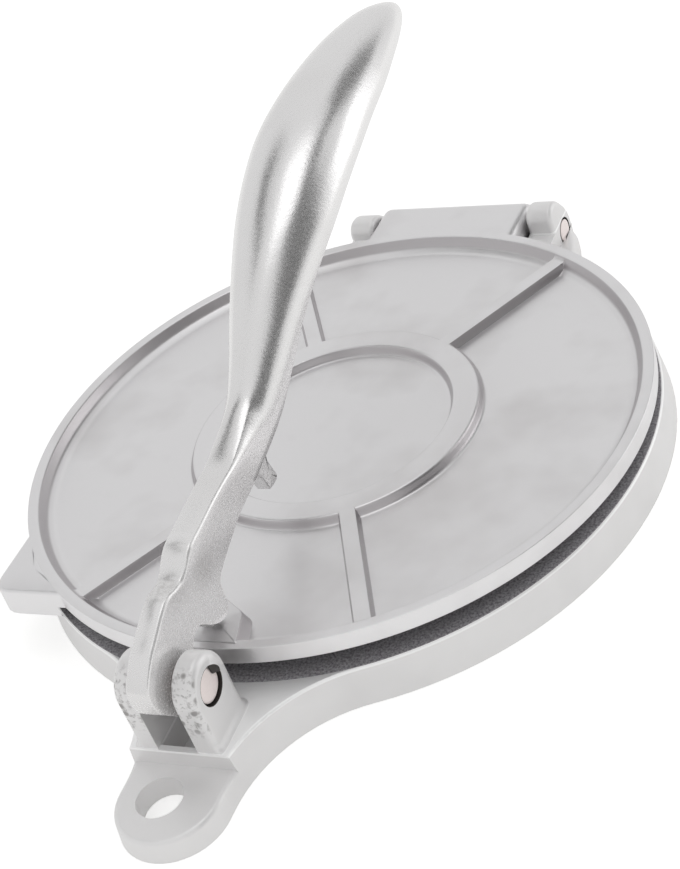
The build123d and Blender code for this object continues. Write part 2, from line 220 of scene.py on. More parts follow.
# Nub corners, back and up, with the reach of their softening.
NUB = [
    (64.1, 18.3, 0),
    (69.4, 10.8, 1.0),
    (70.9, 4.8, 1.0),
    (75.8, 4.4, 1.0),
    (77.0, 5.6, 0.8),
    (75.2, 13.4, 2.0),
    (78.5, 24.0, 0),
]


# ---- shapes ----
def smooth_through(stations, steps):
    """Curve through every station: on each span the cubic whose slope at a station is half the step
    from the station before it to the one after it."""
    stations = np.asarray(stations, float)
    slopes = np.gradient(stations, axis=0)
    t = (np.arange(steps) / steps)[None, :, None]
    a, b = stations[:-1, None], stations[1:, None]
    da, db = slopes[:-1, None], slopes[1:, None]
    spans = (
        a * (2 * t**3 - 3 * t**2 + 1) + b * (3 * t**2 - 2 * t**3)
        + da * (t**3 - 2 * t**2 + t) + db * (t**3 - t**2)
    )
    return np.concatenate([spans.reshape(-1, stations.shape[1]), stations[-1:]])


def soft_corners(corners, steps=6, closed=False):
    """Outline with softened corners. A corner (x, y, reach) becomes the parabola from the point one
    reach before it to the point one reach after it."""
    corners = np.asarray(corners, float)
    place = corners[:, :2]
    before = np.roll(place, 1, axis=0) - place
    after = np.roll(place, -1, axis=0) - place
    if not closed:
        before[0] = -after[0]
        after[-1] = -before[-1]
    reach = corners[:, 2:]
    start = place + before / np.linalg.norm(before, axis=1, keepdims=True) * reach
    end = place + after / np.linalg.norm(after, axis=1, keepdims=True) * reach
    t = np.linspace(0, 1, steps)[None, :, None]
    arcs = (1 - t) ** 2 * start[:, None] + 2 * t * (1 - t) * place[:, None] + t**2 * end[:, None]
    points = arcs.reshape(-1, 2)
    keep = np.ones(len(points), bool)
    keep[1:] = np.linalg.norm(np.diff(points, axis=0), axis=1) > 1e-4
    return points[keep]


def slab(outline, levels, along):
    """Plate of an outline: at each level the outline is drawn in by an inset, square to its edge,
    and lifted to a height along X or Z. The outline runs anticlockwise, seen from the far side."""
    ahead = np.roll(outline, -1, axis=0) - np.roll(outline, 1, axis=0)
    outward = np.stack([ahead[:, 1], -ahead[:, 0]], axis=1)
    outward /= np.linalg.norm(outward, axis=1, keepdims=True)
    inset, height = np.asarray(levels, float).T
    flat = outline[None] - outward[None] * inset[:, None, None]
    lift = np.broadcast_to(height[:, None, None], flat.shape[:2] + (1,))
    order = (flat, lift) if along == "Z" else (lift, flat)
    return np.concatenate(order, axis=2)


def round_levels(low, high, edge, steps=5):
    """Insets and heights of a slab whose two rims are quarter circles of the edge's radius."""
    turn = np.linspace(0, pi / 2, steps)
    inset = edge * (1 - np.sin(turn))
    rise = edge * (1 - np.cos(turn))
    lower = np.stack([inset, low + rise], axis=1)
    upper = np.stack([inset[::-1], high - rise[::-1]], axis=1)
    return np.concatenate([lower, upper])


def swing(points):
    """Turns points that are given for the closed plate to its rest, about the rear hinge."""
    y = points[..., 1] - HINGE_Y
    z = points[..., 2] - HINGE_Z
    turned = np.empty_like(points)
    turned[..., 0] = points[..., 0]
    turned[..., 1] = HINGE_Y + y * cos(REST_OPEN) + z * sin(REST_OPEN)
    turned[..., 2] = HINGE_Z - y * sin(REST_OPEN) + z * cos(REST_OPEN)
    return turned


def closed_skin(name, grids, material, body, node):
    """Piece made of closed skins, carried by a body. Each grid is rows of closed loops, joined row
    to row, and its first and last loop are filled by a fan to their middle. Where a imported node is
    named, the piece is shown in its place."""
    vertices = []
    faces = []
    count = 0
    for grid in grids:
        rows, columns = grid.shape[:2]
        row = np.arange(rows - 1)[:, None] * columns
        here = np.arange(columns)[None]
        ahead = (here + 1) % columns
        above = row + columns
        quads = np.stack([row + here, row + ahead, above + ahead, above + here], axis=-1)
        hubs = np.stack([grid[0].mean(axis=0), grid[-1].mean(axis=0)])
        low_hub = rows * columns
        last = (rows - 1) * columns
        turn = np.arange(columns)
        near = np.stack([np.full(columns, low_hub), (turn + 1) % columns, turn], axis=1)
        far = np.stack([np.full(columns, low_hub + 1), last + turn, last + (turn + 1) % columns], axis=1)
        vertices.append(np.concatenate([grid.reshape(-1, 3), hubs]))
        faces += (quads.reshape(-1, 4) + count).tolist()
        faces += (near + count).tolist() + (far + count).tolist()
        count += rows * columns + 2
    mesh = bpy.data.meshes.new(name)
    mesh.from_pydata((np.concatenate(vertices) * MM).tolist(), [], faces)
    mesh.shade_smooth()
    mesh.set_sharp_from_angle(angle=SHARP_ANGLE)
    mesh.materials.append(material)
    piece = bpy.data.objects.new(name, mesh)
    bpy.context.collection.objects.link(piece)
    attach(piece, body)
    if node:
        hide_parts(node)
    return piece


def top_plate_grid():
    """Pan turned from a profile. Columns crowd at the four ribs, where each keeps its own distance
    from the rib's middle line, and the height is the higher of the profile and the rib's section:
    a cubic step from the rib's foot to its top. Between two ribs the columns are evenly spaced.
    The profile holds radius, height and the reach of a corner's softening."""
    inner = PLATE_RADIUS - RIM_WIDTH
    profile = soft_corners([
        (HUB_RADIUS, PLATE_UNDER, 0),
        (UNDER_ROW, PLATE_UNDER, 0),
        (PLATE_RADIUS, PLATE_UNDER, 0.3),
        (PLATE_RADIUS, RIM_TOP, 0.3),
        (inner, RIM_TOP, 0.6),
        (inner - RIM_WALL, PLATE_FLOOR + RIM_WALL_RISE, 0.7),
        (inner - RIM_FOOT, PLATE_FLOOR, 1.0),
        *((row, PLATE_FLOOR, 0) for row in FLOOR_ROWS),
        (RING_OUTER + RING_FOOT, PLATE_FLOOR, 1.0),
        (RING_OUTER, RING_TOP, 0.9),
        (RING_INNER, RING_TOP, 0.9),
        (RING_INNER - RING_FOOT, PLATE_FLOOR, 1.0),
        (CENTRE_ROW, PLATE_FLOOR, 0),
        (HUB_RADIUS, PLATE_FLOOR, 0),
    ])
    radius = profile[:, :1]
    height = profile[:, 1:]
    flat = np.linspace(0, RIB_HALF_TOP, 4)[:-1]
    flank = np.linspace(RIB_HALF_TOP, RIB_HALF_FOOT, 9)
    half = np.concatenate([flat, flank, RIB_SIDE_COLUMNS])
    across = np.concatenate([-half[:0:-1], half])[None]
    reach = np.arcsin(across / np.maximum(radius, RING_INNER))
    middles = np.radians(RIB_ANGLES + (RIB_ANGLES[0] + 360,))
    angles = []
    distances = []
    for middle, following in zip(middles[:-1], middles[1:]):
        start = middle + reach[:, -1:]
        end = following + reach[:, :1]
        columns = round(np.degrees(following - middle) / COLUMN_DEGREES)
        share = np.linspace(0, 1, columns)[None, 1:-1]
        angles += [middle + reach, start + (end - start) * share]
        distances += [across, np.full_like(share, PLATE_RADIUS)]
    angle = np.concatenate(angles, axis=1)
    distance = abs(np.concatenate(distances, axis=1))
    step = np.clip((RIB_HALF_FOOT - distance) / (RIB_HALF_FOOT - RIB_HALF_TOP), 0, 1)
    rib = PLATE_FLOOR + (RING_TOP - PLATE_FLOOR) * step**2 * (3 - 2 * step)
    upper = height > PLATE_FLOOR - 0.01
    ribbed = upper & (radius > RING_OUTER - 1) & (radius < PLATE_RADIUS - RIM_WIDTH / 2)
    height = np.where(ribbed, np.maximum(height, rib), height)
    return np.stack([radius * np.cos(angle), radius * np.sin(angle), height], axis=-1)


def pad_grid():
    """Pad under the cam: an uneven outline with soft corners, whose wall leans out to its foot
    on every side but the front."""
    grid = slab(soft_corners(PAD, closed=True), PAD_WALL, "Z")
    grid[..., 1] = np.maximum(grid[..., 1], PAD_FRONT)
    return grid


def thumb_tab_grids():
    """Thumb tab: a corner with a rounded tip at rim height, and under it the part that hangs
    outside the base, whose inner side follows a circle a little wider than the base."""
    corner = (PLATE_RADIUS + THUMB_REACH) / 2**0.5
    near = corner - THUMB_SIDE
    inner = near - THUMB_ROOT
    root = THUMB_ROOT - corner
    top = soft_corners([
        (-corner, -near, THUMB_SOFT),
        (-corner, -corner, THUMB_TIP),
        (-near, -corner, THUMB_SOFT),
        (-inner, root, 0),
        (root, -inner, 0),
    ], closed=True)
    clear = BASE_RADIUS - BASE_DRAFT + THUMB_CLEARANCE
    side = (clear**2 - corner**2) ** 0.5
    turn = np.linspace(np.arctan2(-corner, -side), np.arctan2(-side, -corner), 14)[1:-1]
    skirt_side = soft_corners([(-corner, -side, 0), (-corner, -corner, THUMB_TIP), (-side, -corner, 0)])
    skirt = np.concatenate([skirt_side, clear * np.stack([np.cos(turn), np.sin(turn)], axis=1)])
    # Only the tab's upper rim and the skirt's lower rim are rounded.
    skirt_top = PLATE_UNDER + THUMB_SKIRT_RISE
    top_levels = round_levels(PLATE_UNDER, RIM_TOP - THUMB_BELOW_RIM, THUMB_TOP_EDGE)[4:]
    skirt_levels = round_levels(PLATE_UNDER - THUMB_SINK, skirt_top, THUMB_SKIRT_EDGE)[:5]
    hidden_levels = [(0.02, PLATE_UNDER), (0.04, skirt_top)]
    return [
        slab(top, np.concatenate([[(SUNK, PLATE_UNDER)], top_levels]), "Z"),
        slab(skirt, np.concatenate([skirt_levels, hidden_levels]), "Z"),
    ]


def tongue_grid():
    """Hinge tongue: a flat top that bends down in a quarter ellipse to the round knuckle, carried
    along X, with both top ends falling away in a quarter circle. Its front follows the rim."""
    under = np.linspace(pi, 2 * pi, 18)
    over = np.linspace(0, pi / 2, 14)[1:]
    rise = PLATE_UNDER + TONGUE_RISE - HINGE_Z
    front = PLATE_RADIUS - 2 * RIM_WIDTH
    knuckle_z = HINGE_Z + KNUCKLE_RADIUS * np.sin(under)
    outline = np.concatenate([
        [(front, PLATE_UNDER), (HINGE_Y - KNUCKLE_RADIUS, PLATE_UNDER)],
        np.stack([HINGE_Y + KNUCKLE_RADIUS * np.cos(under), knuckle_z], axis=1),
        np.stack([HINGE_Y + KNUCKLE_RADIUS * np.cos(over), HINGE_Z + rise * np.sin(over)], axis=1),
        [(TONGUE_MIDDLE_Y, HINGE_Z + rise), (front, HINGE_Z + rise)],
    ])
    turn = np.linspace(0, pi / 2, 9)
    end = TONGUE_HALF_WIDTH - TONGUE_CORNER * (1 - np.sin(turn))
    middle = np.linspace(-1, 1, 15)[1:-1] * (TONGUE_HALF_WIDTH - TONGUE_CORNER)
    place = np.concatenate([-end[::-1], middle, end])
    grid = slab(outline, np.stack([np.zeros_like(place), place], axis=1), "X")
    beyond = np.clip(abs(grid[..., 0]) - TONGUE_HALF_WIDTH + TONGUE_CORNER, 0, TONGUE_CORNER)
    fall = TONGUE_CORNER - np.sqrt(np.maximum(TONGUE_CORNER**2 - beyond**2, 0))
    grid[..., 2] -= fall * np.clip((grid[..., 2] - HINGE_Z) / rise, 0, 1)
    in_rim = np.sqrt((PLATE_RADIUS - RIM_WIDTH / 2) ** 2 - grid[..., 0] ** 2)
    grid[..., 1] = np.maximum(grid[..., 1], in_rim)
    return grid


def lever_grid():
    """Lever as sections from the nose to the handle's tip. Each section hangs from a point of the
    crown line to one of the under line. Its outside is mixed from a bar with rounded corners and
    a faintly crowned top, and a half ellipse. Its underside is mixed from a flat and the half
    ellipse of the hollow."""
    handle = np.array(HANDLE, float)
    along = np.gradient(handle[:, :2], axis=0)
    along /= np.linalg.norm(along, axis=1, keepdims=True)
    under = handle[:, :2] + np.stack([along[:, 1], -along[:, 0]], axis=1) * handle[:, 2:3]
    handle = np.concatenate([handle[:, :2], under, handle[:, 3:]], axis=1)
    shank = np.array(SHANK, float)
    plain = np.zeros((len(shank), 2))
    shank = np.concatenate([shank, plain], axis=1)
    rows = smooth_through(np.concatenate([shank, handle]), 9)
    top, low = rows[:, :2], rows[:, 2:4]
    half, arch, hollow = (rows[:, i:i + 1] for i in (4, 5, 6))
    arch = np.clip(arch, 0, 1)
    hollow = np.clip(hollow, 0, 1)
    depth = np.linalg.norm(top - low, axis=1, keepdims=True)
    edge = np.minimum(LEVER_EDGE, depth / 3)
    side = np.linspace(0, 1, 7)[None, :-1]
    bend = np.linspace(0, pi / 2, 7)[None]
    flat = np.linspace(-1, 1, 9)[None, 1:-1]
    left_x = np.concatenate([edge - half, -half + 0 * side, edge * (1 - np.cos(bend)) - half], axis=1)
    flank_y = (edge - depth) + (depth - 2 * edge) * side
    left_y = np.concatenate([-depth, flank_y, -edge * (1 - np.sin(bend))], axis=1)
    bar_x = np.concatenate([left_x, (half - edge) * flat, -left_x[:, ::-1]], axis=1)
    crown_y = LEVER_CROWN * (1 - flat**2) + 0 * half
    bar_y = np.concatenate([left_y, crown_y, left_y[:, ::-1]], axis=1)
    turn = np.linspace(0, pi, bar_x.shape[1])[None]
    out_x = bar_x + arch * (-half * np.cos(turn) - bar_x)
    out_y = bar_y + arch * (depth * (np.sin(turn) - 1) - bar_y)
    back = np.linspace(0, pi, 15)[None]
    wall = HANDLE_WALL * hollow + (edge + LEVER_LIP) * (1 - arch)
    in_x = np.maximum(half - wall, LEVER_LIP) * np.cos(back)
    in_y = -depth + hollow * np.maximum(depth - HANDLE_WALL, 0) * np.sin(back)
    x = np.concatenate([out_x, in_x], axis=1)
    y = np.concatenate([out_y, in_y], axis=1)
    rise = (top - low) / depth
    place = top[:, None] + rise[:, None] * y[..., None]
    return np.concatenate([x[..., None], place + (PIVOT_Y, PIVOT_Z)], axis=2)


def nub_grid():
    """Nub under the shank: a wedge with soft corners, whose two sides have quarter round rims."""
    outline = soft_corners([(y + PIVOT_Y, z + PIVOT_Z, reach) for y, z, reach in NUB], closed=True)
    return slab(outline, round_levels(-NUB_HALF_WIDTH, NUB_HALF_WIDTH, NUB_EDGE), "X")


def pin_grid(ends, radius, y, z):
    """Pin along X: a circle carried from end to end. Both ends are turned down by a step, so that
    a narrow groove shows round them in the bore, and have a rounded rim."""
    turn = np.linspace(0, 2 * pi, 48, endpoint=False)
    outline = np.stack([y + radius * np.cos(turn), z + radius * np.sin(turn)], axis=1)
    low, high = ends
    levels = [(inset, low + depth) for inset, depth in PIN_END]
    levels += [(inset, high - depth) for inset, depth in reversed(PIN_END)]
    return slab(outline, levels, "X")


def mirrored(grid):
    """The same form on the other side of the press, with its faces still outward."""
    return grid[:, ::-1] * (-1, 1, 1)


def clevis_skirt_grid(side):
    """Foot of a clevis ear, cast as a hollow quarter ellipse. At each height the ear's outline is
    let out by what the ellipse leaves, and it is kept off the slot and the front face."""
    front, rear = PIVOT_Y - CLEVIS_EAR_REACH, PIVOT_Y + CLEVIS_EAR_REACH
    outline = soft_corners([
        (CLEVIS_EAR_INNER, front, 0.2),
        (CLEVIS_EAR_OUTER, front, CLEVIS_EAR_CORNER),
        (CLEVIS_EAR_OUTER, rear, CLEVIS_EAR_CORNER),
        (CLEVIS_EAR_INNER, rear, 0.2),
    ], closed=True)
    turn = np.linspace(0, pi / 2, 8)
    let_out = CLEVIS_SKIRT * (1 - np.sin(turn))
    height = BASE_TOP + CLEVIS_SKIRT * CLEVIS_SKIRT_STRETCH * (1 - np.cos(turn))
    levels = np.stack([SUNK - let_out, height], axis=1)
    grid = slab(outline, np.concatenate([[(-CLEVIS_SKIRT, BASE_TOP - 0.3)], levels]), "Z")
    grid[..., 0] = np.maximum(grid[..., 0], CLEVIS_EAR_INNER)
    grid[..., 1] = np.maximum(grid[..., 1], front + SUNK)
    return mirrored(grid) if side < 0 else grid


def hinge_web_grid(side):
    """Web that spreads from a rear hinge ear to the disc: a plan with soft corners whose flank
    leans in towards its top."""
    grid = slab(soft_corners(WEB, closed=True), WEB_FLANK, "Z")
    return mirrored(grid) if side < 0 else grid


def burr_grid():
    """Burr hammered over the pivot pin: a flat dome on the right ear. Its outline is a circle with
    three broad and seven small waves, stretched along the ear's top. Across the dome the height
    follows the square root of one less the square of the share of its reach."""
    turn = np.linspace(0, 2 * pi, 40, endpoint=False)[None]
    share = np.linspace(1, 0.08, 9)[:, None]
    wave = 1 + 0.13 * np.sin(3 * turn + 0.6) + 0.07 * np.sin(7 * turn)
    along = BURR_HALF_LENGTH * share * wave * np.cos(turn)
    up = BURR_HALF_WIDTH * share * wave * np.sin(turn)
    y = BURR_Y + along * cos(BURR_LEAN) - up * sin(BURR_LEAN)
    z = BURR_Z + along * sin(BURR_LEAN) + up * cos(BURR_LEAN)
    x = CLEVIS_EAR_OUTER - BURR_SINK + BURR_HEIGHT * np.sqrt(1 - share**2) + 0 * turn
    return np.stack([x, y, z], axis=-1)


# ---- camera at the photograph's viewing angle ----
# Its place is in metres.
CAMERA_PLACE = Vector((0.3025, -0.4283, 0.3988))
VIEW_AZIMUTH = radians(35.19)
VIEW_ELEVATION = radians(36.15)
VIEW_ROLL = radians(22.05)
LENS = 87.0
SENSOR = 36.0


def place_camera():
    """Looks along the fitted azimuth and elevation, then rolls the picture about that line."""
    back = Vector((
        sin(VIEW_AZIMUTH) * cos(VIEW_ELEVATION),
        -cos(VIEW_AZIMUTH) * cos(VIEW_ELEVATION),
        sin(VIEW_ELEVATION),
    ))
    level_right = Vector((0, 0, 1)).cross(back).normalized()
    level_up = back.cross(level_right)
    right = level_right * cos(VIEW_ROLL) - level_up * sin(VIEW_ROLL)
    up = level_right * sin(VIEW_ROLL) + level_up * cos(VIEW_ROLL)
    camera = bpy.data.objects.new("photo_camera", bpy.data.cameras.new("photo_camera"))
    camera.data.sensor_width = SENSOR
    camera.data.lens = LENS
    turn = Matrix((right, up, back)).transposed()
    camera.matrix_world = Matrix.Translation(CAMERA_PLACE) @ turn.to_4x4()
    bpy.context.collection.objects.link(camera)
    bpy.context.scene.camera = camera


# ---- materials ----
def hex_colour(code):
    """sRGB hex code as a linear colour with full alpha."""
    parts = [int(code[i:i + 2], 16) / 255 for i in (0, 2, 4)]
    return [c / 12.92 if c <= 0.04045 else ((c + 0.055) / 1.055) ** 2.4 for c in parts] + [1.0]


def add_node(tree, kind, settings=None, **inputs):
    """Adds a node, sets its properties, and sets or links its inputs by name, or by number: i0 is
    the first."""
    node = tree.nodes.new("ShaderNode" + kind)
    for name, value in (settings or {}).items():
        setattr(node, name, value)
    for name, value in inputs.items():
        socket = node.inputs[int(name[1:]) if name[1:].isdigit() else name.replace("_", " ")]
        if isinstance(value, bpy.types.NodeSocket):
            tree.links.new(value, socket)
        else:
            socket.default_value = value
    return node


def new_material(name):
    """Empty material, and its node tree."""
    material = bpy.data.materials.new(name)
    material.use_nodes = True
    material.node_tree.nodes.clear()
    return material, material.node_tree


COLOUR = {"data_type": "RGBA"}
SMOOTH = {"interpolation_type": "SMOOTHSTEP"}
LONG = {"operation": "LENGTH"}
APART = {"operation": "DISTANCE"}
TIMES = {"operation": "MULTIPLY"}
BELOW = {"operation": "LESS_THAN"}
ABOVE = {"operation": "GREATER_THAN"}
GREATER = {"operation": "MAXIMUM"}
SIZE = {"operation": "ABSOLUTE"}
TIMES_AND_ADD = {"operation": "MULTIPLY_ADD"}

# Sizes of the patterns.
GRIT = 0.75 * MM
CLOUD = 34 * MM
DENT = 9 * MM
MOTTLE = 1.3 * MM
PIT = 4.5 * MM
BLOT = 1.1 * MM
SCRATCH = 1.4 * MM
WEAVE = 2 * MM

# Depths of the patterns.
DENT_DEPTH = 0.1 * MM
BASE_GRIT_DEPTH = 0.022 * MM
PLATE_GRIT_DEPTH = 0.018 * MM
LEVER_GRIT_DEPTH = 0.05 * MM
SCRATCH_DEPTH = 0.05 * MM

# Where a finish, a painted highlight or a painted shade begins and ends.
EDGE_HIGHLIGHT_RADII = (99.6 * MM, 100.2 * MM)
EDGE_HIGHLIGHT_HEIGHTS = (11.8 * MM, 12.2 * MM)
EDGE_HIGHLIGHT_TOP = BASE_TOP * MM + 0.05 * MM
EARS_AHEAD_OF = -103 * MM
EARS_HEIGHTS = (18 * MM, 23 * MM)
PIVOT_BORE = (PIVOT_PIN_RADIUS + 0.12) * MM
HINGE_BORE = (HINGE_PIN_RADIUS + 0.12) * MM
BORES_WITHIN = (HINGE_EAR_OUTER + 0.1) * MM
WALL_SHADE_RADIUS = (PLATE_RADIUS - RIM_WIDTH + 0.4) * MM
UNDER_SHADE_RADIUS = 99 * MM
# Between these places along Y the lever's finish turns from the shank's to the handle's.
SHANK_TO_HANDLE = (-88 * MM, -60 * MM)


def casting_grain(tree, place, light, cloud):
    """Cast aluminium tumbled with small stones: a tint with faint clouds, the grit that the stones
    leave, and the shallow dents of the sand mould."""
    clouds = add_node(tree, "TexNoise", Vector=place, Scale=1 / CLOUD, Detail=3.0, Roughness=0.55)
    grit = add_node(tree, "TexNoise", Vector=place, Scale=1 / GRIT, Detail=2.0, Roughness=0.65)
    dents = add_node(tree, "TexNoise", Vector=place, Scale=1 / DENT, Detail=2.0, Roughness=0.5)
    veil = add_node(tree, "MapRange", i0=clouds.outputs[0], i1=0.5, i2=0.8, i3=0.0, i4=0.5)
    tint = add_node(tree, "Mix", COLOUR, i0=veil.outputs[0], i6=hex_colour(light), i7=hex_colour(cloud))
    return tint.outputs[2], grit.outputs[0], dents.outputs[0]


def casting_relief(tree, grit, dents, depth, share=0.6):
    """Normal of a tumbled casting: grit of a given depth over the dents of the mould."""
    lumps = add_node(tree, "Bump", Strength=0.5, Distance=DENT_DEPTH, Height=dents).outputs[0]
    return add_node(tree, "Bump", Strength=share, Distance=depth, Height=grit, Normal=lumps).outputs[0]


def distance_from_axis(tree, spot):
    """How far a point is from the upright line through the middle of the press."""
    plan = add_node(tree, "CombineXYZ", X=spot.outputs[0], Y=spot.outputs[1])
    return add_node(tree, "VectorMath", LONG, i0=plan.outputs[0]).outputs["Value"]


def gap_shade_colour(tree, grit, dark, light):
    """Painted shade for faces in the gap between the plates: a dull grey, paler on the tips of the grit.
    """
    speck = add_node(tree, "MapRange", i0=grit, i1=0.35, i2=0.65, i3=0.0, i4=1.0).outputs[0]
    dull = add_node(tree, "Mix", COLOUR, i0=speck, i6=hex_colour(dark), i7=hex_colour(light))
    return dull.outputs[2]


def base_casting():
    """Base: satin aluminium, cast in sand and tumbled. The face that presses the dough is painted a dull,
    speckled grey as shade in the gap under the plate. The rim's top edge is painted white as a highlight,
    the bores are painted dark as shade round the pins, and the fronts of the clevis ears keep a mottled
    skin with a few deeper pits."""
    material, tree = new_material("sand_cast_aluminium_base")
    coords = add_node(tree, "TexCoord")
    place = coords.outputs["Object"]
    facing = add_node(tree, "SeparateXYZ", Vector=coords.outputs["Normal"])
    spot = add_node(tree, "SeparateXYZ", Vector=place)
    tint, grit, dents = casting_grain(tree, place, "EBEAEA", "DCDBDB")
    radius = distance_from_axis(tree, spot)

    # Painted highlight: a white band along the base's rim top edge.
    low, high = EDGE_HIGHLIGHT_RADII
    rim_highlight = add_node(tree, "MapRange", i0=radius, i1=low, i2=high, i3=0.0, i4=1.0)
    low, high = EDGE_HIGHLIGHT_HEIGHTS
    edge_low = add_node(tree, "MapRange", i0=spot.outputs[2], i1=low, i2=high, i3=0.0, i4=1.0)
    edge_high = add_node(tree, "Math", BELOW, i0=spot.outputs[2], i1=EDGE_HIGHLIGHT_TOP)
    edge = add_node(tree, "Math", TIMES, i0=rim_highlight.outputs[0], i1=edge_low.outputs[0])
    edge = add_node(tree, "Math", TIMES, i0=edge.outputs[0], i1=edge_high.outputs[0])
    tint = add_node(tree, "Mix", COLOUR, i0=edge.outputs[0], i6=tint, i7=hex_colour("FFFFFF")).outputs[2]

    front = add_node(tree, "MapRange", i0=facing.outputs[1], i1=-0.2, i2=-0.45, i3=0.0, i4=1.0)
    ahead = add_node(tree, "Math", BELOW, i0=spot.outputs[1], i1=EARS_AHEAD_OF)
    low, high = EARS_HEIGHTS
    above = add_node(tree, "MapRange", i0=spot.outputs[2], i1=low, i2=high, i3=0.0, i4=1.0)
    ears = add_node(tree, "Math", TIMES, i0=front.outputs[0], i1=ahead.outputs[0])
    ears = add_node(tree, "Math", TIMES, i0=ears.outputs[0], i1=above.outputs[0])
    patch = add_node(tree, "TexNoise", Vector=place, Scale=1 / MOTTLE, Detail=2.0, Roughness=0.6)
    mottle = add_node(tree, "MapRange", i0=patch.outputs[0], i1=0.5, i2=0.7, i3=0.0, i4=0.6)
    holes = add_node(tree, "TexVoronoi", Vector=place, Scale=1 / PIT)
    away = holes.outputs["Distance"]
    pits = add_node(tree, "MapRange", SMOOTH, i0=away, i1=0.14, i2=0.3, i3=0.75, i4=0.0)
    marks = add_node(tree, "Math", GREATER, i0=mottle.outputs[0], i1=pits.outputs[0])
    marked = add_node(tree, "Math", TIMES, i0=marks.outputs[0], i1=ears.outputs[0])
    dark = hex_colour("7B7776")
    tint = add_node(tree, "Mix", COLOUR, i0=marked.outputs[0], i6=tint, i7=dark).outputs[2]

    # Painted shade: the top face under the plate is tinted a speckled grey and made duller, as the gap's
    # shade.
    pressed = add_node(tree, "Math", BELOW, i0=radius, i1=EDGE_HIGHLIGHT_RADII[1])
    level = add_node(tree, "Math", ABOVE, i0=facing.outputs[2], i1=0.9)
    gap_shade = add_node(tree, "Math", TIMES, i0=pressed.outputs[0], i1=level.outputs[0])
    gap_shade = add_node(tree, "Math", TIMES, i0=gap_shade.outputs[0], i1=edge_high.outputs[0]).outputs[0]
    dull = gap_shade_colour(tree, grit, "858286", "C2C0C4")
    tint = add_node(tree, "Mix", COLOUR, i0=gap_shade, i6=tint, i7=dull).outputs[2]

    # Painted shade: inside the pin bores the base is tinted near black.
    around = add_node(tree, "CombineXYZ", Y=spot.outputs[1], Z=spot.outputs[2]).outputs[0]
    pivot = add_node(tree, "VectorMath", APART, i0=around, i1=(0, PIVOT_Y * MM, PIVOT_Z * MM))
    in_pivot = add_node(tree, "Math", BELOW, i0=pivot.outputs["Value"], i1=PIVOT_BORE)
    hinge = add_node(tree, "VectorMath", APART, i0=around, i1=(0, HINGE_Y * MM, HINGE_Z * MM))
    in_hinge = add_node(tree, "Math", BELOW, i0=hinge.outputs["Value"], i1=HINGE_BORE)
    bore_shade = add_node(tree, "Math", GREATER, i0=in_pivot.outputs[0], i1=in_hinge.outputs[0])
    aside = add_node(tree, "Math", SIZE, i0=spot.outputs[0])
    between = add_node(tree, "Math", BELOW, i0=aside.outputs[0], i1=BORES_WITHIN)
    bore_shade = add_node(tree, "Math", TIMES, i0=bore_shade.outputs[0], i1=between.outputs[0]).outputs[0]
    tint = add_node(tree, "Mix", COLOUR, i0=bore_shade, i6=tint, i7=hex_colour("3A3634")).outputs[2]

    metal = add_node(tree, "MapRange", i0=gap_shade, i1=0.0, i2=1.0, i3=0.45, i4=0.35)
    satin = add_node(tree, "MapRange", i0=grit, i1=0.3, i2=0.7, i3=0.4, i4=0.48)
    rough = add_node(tree, "Mix", i0=gap_shade, i2=satin.outputs[0], i3=0.7)
    relief = casting_relief(tree, grit, dents, BASE_GRIT_DEPTH)
    body = add_node(
        tree, "BsdfPrincipled", Base_Color=tint, Metallic=metal.outputs[0],
        Roughness=rough.outputs[0], Normal=relief,
    )
    add_node(tree, "OutputMaterial", Surface=body.outputs[0])
    return material


def plate_casting():
    """Top plate: satin aluminium, cast in sand and tumbled. The steep walls of rim, ring and ribs are
    painted greyer as shade, and the underside is painted dark as the shade in the gap over the base."""
    material, tree = new_material("sand_cast_aluminium_plate")
    coords = add_node(tree, "TexCoord")
    place = coords.outputs["Object"]
    facing = add_node(tree, "SeparateXYZ", Vector=coords.outputs["Normal"])
    spot = add_node(tree, "SeparateXYZ", Vector=place)
    tint, grit, dents = casting_grain(tree, place, "EAE9EA", "CBC8C8")
    radius = distance_from_axis(tree, spot)

    # Painted shade: steep walls inside the rim are tinted grey.
    lean = add_node(tree, "Math", SIZE, i0=facing.outputs[2])
    wall = add_node(tree, "MapRange", SMOOTH, i0=lean.outputs[0], i1=0.68, i2=0.95, i3=0.8, i4=0.0)
    inside = add_node(tree, "Math", BELOW, i0=radius, i1=WALL_SHADE_RADIUS)
    painted_wall_shade = add_node(tree, "Math", TIMES, i0=wall.outputs[0], i1=inside.outputs[0])
    grey = hex_colour("B5B1B3")
    tint = add_node(tree, "Mix", COLOUR, i0=painted_wall_shade.outputs[0], i6=tint, i7=grey).outputs[2]

    # Painted shade: the underside, seen in the gap over the base, is tinted a dark speckled grey and made
    # duller.
    under = add_node(tree, "Math", BELOW, i0=facing.outputs[2], i1=-0.9)
    pressed = add_node(tree, "Math", BELOW, i0=radius, i1=UNDER_SHADE_RADIUS)
    gap_shade = add_node(tree, "Math", TIMES, i0=under.outputs[0], i1=pressed.outputs[0]).outputs[0]
    dull = gap_shade_colour(tree, grit, "6A686B", "9A989B")
    tint = add_node(tree, "Mix", COLOUR, i0=gap_shade, i6=tint, i7=dull).outputs[2]

    metal = add_node(tree, "MapRange", i0=gap_shade, i1=0.0, i2=1.0, i3=1.0, i4=0.4)
    satin = add_node(tree, "MapRange", i0=grit, i1=0.3, i2=0.7, i3=0.32, i4=0.4)
    relief = casting_relief(tree, grit, dents, PLATE_GRIT_DEPTH)
    body = add_node(
        tree, "BsdfPrincipled", Base_Color=tint, Metallic=metal.outputs[0],
        Roughness=satin.outputs[0], Normal=relief,
    )
    add_node(tree, "OutputMaterial", Surface=body.outputs[0])
    return material


